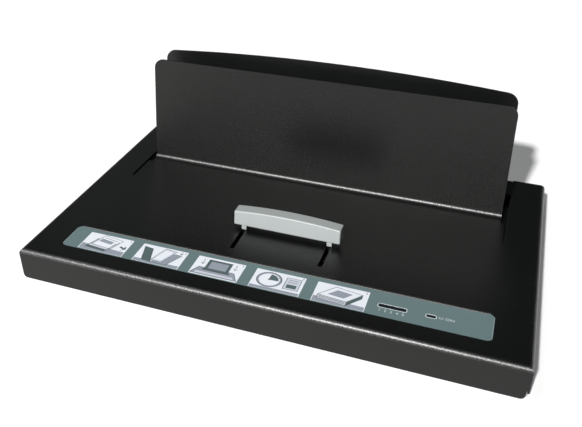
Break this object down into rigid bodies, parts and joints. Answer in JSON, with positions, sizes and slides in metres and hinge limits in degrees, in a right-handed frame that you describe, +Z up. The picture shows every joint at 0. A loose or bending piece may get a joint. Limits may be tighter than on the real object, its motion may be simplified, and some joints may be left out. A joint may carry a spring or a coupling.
{
  "type": "thermal binding machine",
  "caption": "Low steel desktop thermal binder: heated slot between a fixed front plate and a sliding back plate, pulled shut with a handle on the top.",
  "frame": {"origin": "on the table, under the middle of the machine's bounding box", "axes": "+X along the width, +Y towards the back wall with the power inlet, +Z up"},
  "size_m": [0.41, 0.2866, 0.145],
  "materials": {
    "black_paint": "fine-textured satin powder coat",
    "rear_paint": "fine-textured satin powder coat",
    "plate_paint": "smooth satin powder coat",
    "handle_grey": "smooth satin",
    "strip_print": "printed film, satin",
    "smoked_window": "clear smoked plastic",
    "led_clear": "clear epoxy",
    "board_green": "solder mask",
    "component_black": "moulded",
    "component_blue": "sleeved",
    "zinc_steel": "zinc plated",
    "screw_zinc": "zinc plated",
    "screw_black": "black oxide",
    "heater_aluminium": "extruded, bare",
    "mica": "pressed mica",
    "spacer_phenolic": "phenolic",
    "guide_nylon": "moulded nylon",
    "foot_rubber": "soft matt",
    "inlet_black": "moulded",
    "rocker_black": "moulded",
    "earth_brass": "bare"
  },
  "bodies": {
    "casing": {"base_tray": "zinc_steel", "board_screws": "screw_zinc", "board_standoffs": "screw_zinc", "buzzer": "component_black", "capacitor": "component_blue", "clamp_strip": "zinc_steel", "clamp_strip_screws": "screw_zinc", "control_board": "board_green", "earth_stud": "earth_brass", "feet": "foot_rubber", "guide_rail_left": "guide_nylon", "guide_rail_right": "guide_nylon", "heat_led": "led_clear", "heat_window": "smoked_window", "heater_plate": "heater_aluminium", "heater_screws": "screw_zinc", "heater_spacers": "spacer_phenolic", "heating_element": "mica", "inlet_screws": "screw_black", "insulation_sheet": "mica", "overlay_panel": "strip_print", "power_inlet": "inlet_black", "rail_screws": "screw_zinc", "rear_cover": "rear_paint", "rear_cover_screws": "screw_black", "relay": "component_blue", "side_screws": "screw_black", "switch_housing": "inlet_black", "terminal_block": "board_green", "thermal_fuse": "screw_zinc", "thermostat": "component_black", "time_leds": "led_clear", "time_window": "smoked_window", "top_cover": "black_paint", "transformer": "component_black"},
    "clamp": {"carriage": "plate_paint", "back_plate": "plate_paint", "back_plate_screws": "screw_black", "handle": "handle_grey", "handle_posts": "plate_paint", "handle_screws": "screw_zinc"},
    "rocker": {"power_rocker": "rocker_black"}
  },
  "joints": [
    {"name": "clamp_slide", "type": "slide", "parent": "casing", "child": "clamp", "axis": [0, -1, 0], "range_m": [-0.0145, 0.0244]},
    {"name": "rocker_tilt", "type": "hinge", "parent": "casing", "child": "rocker", "pos_m": [0.104, 0.1391, 0.01625], "axis": [0, 0, 1], "range_deg": [0, 16]}
  ]
}
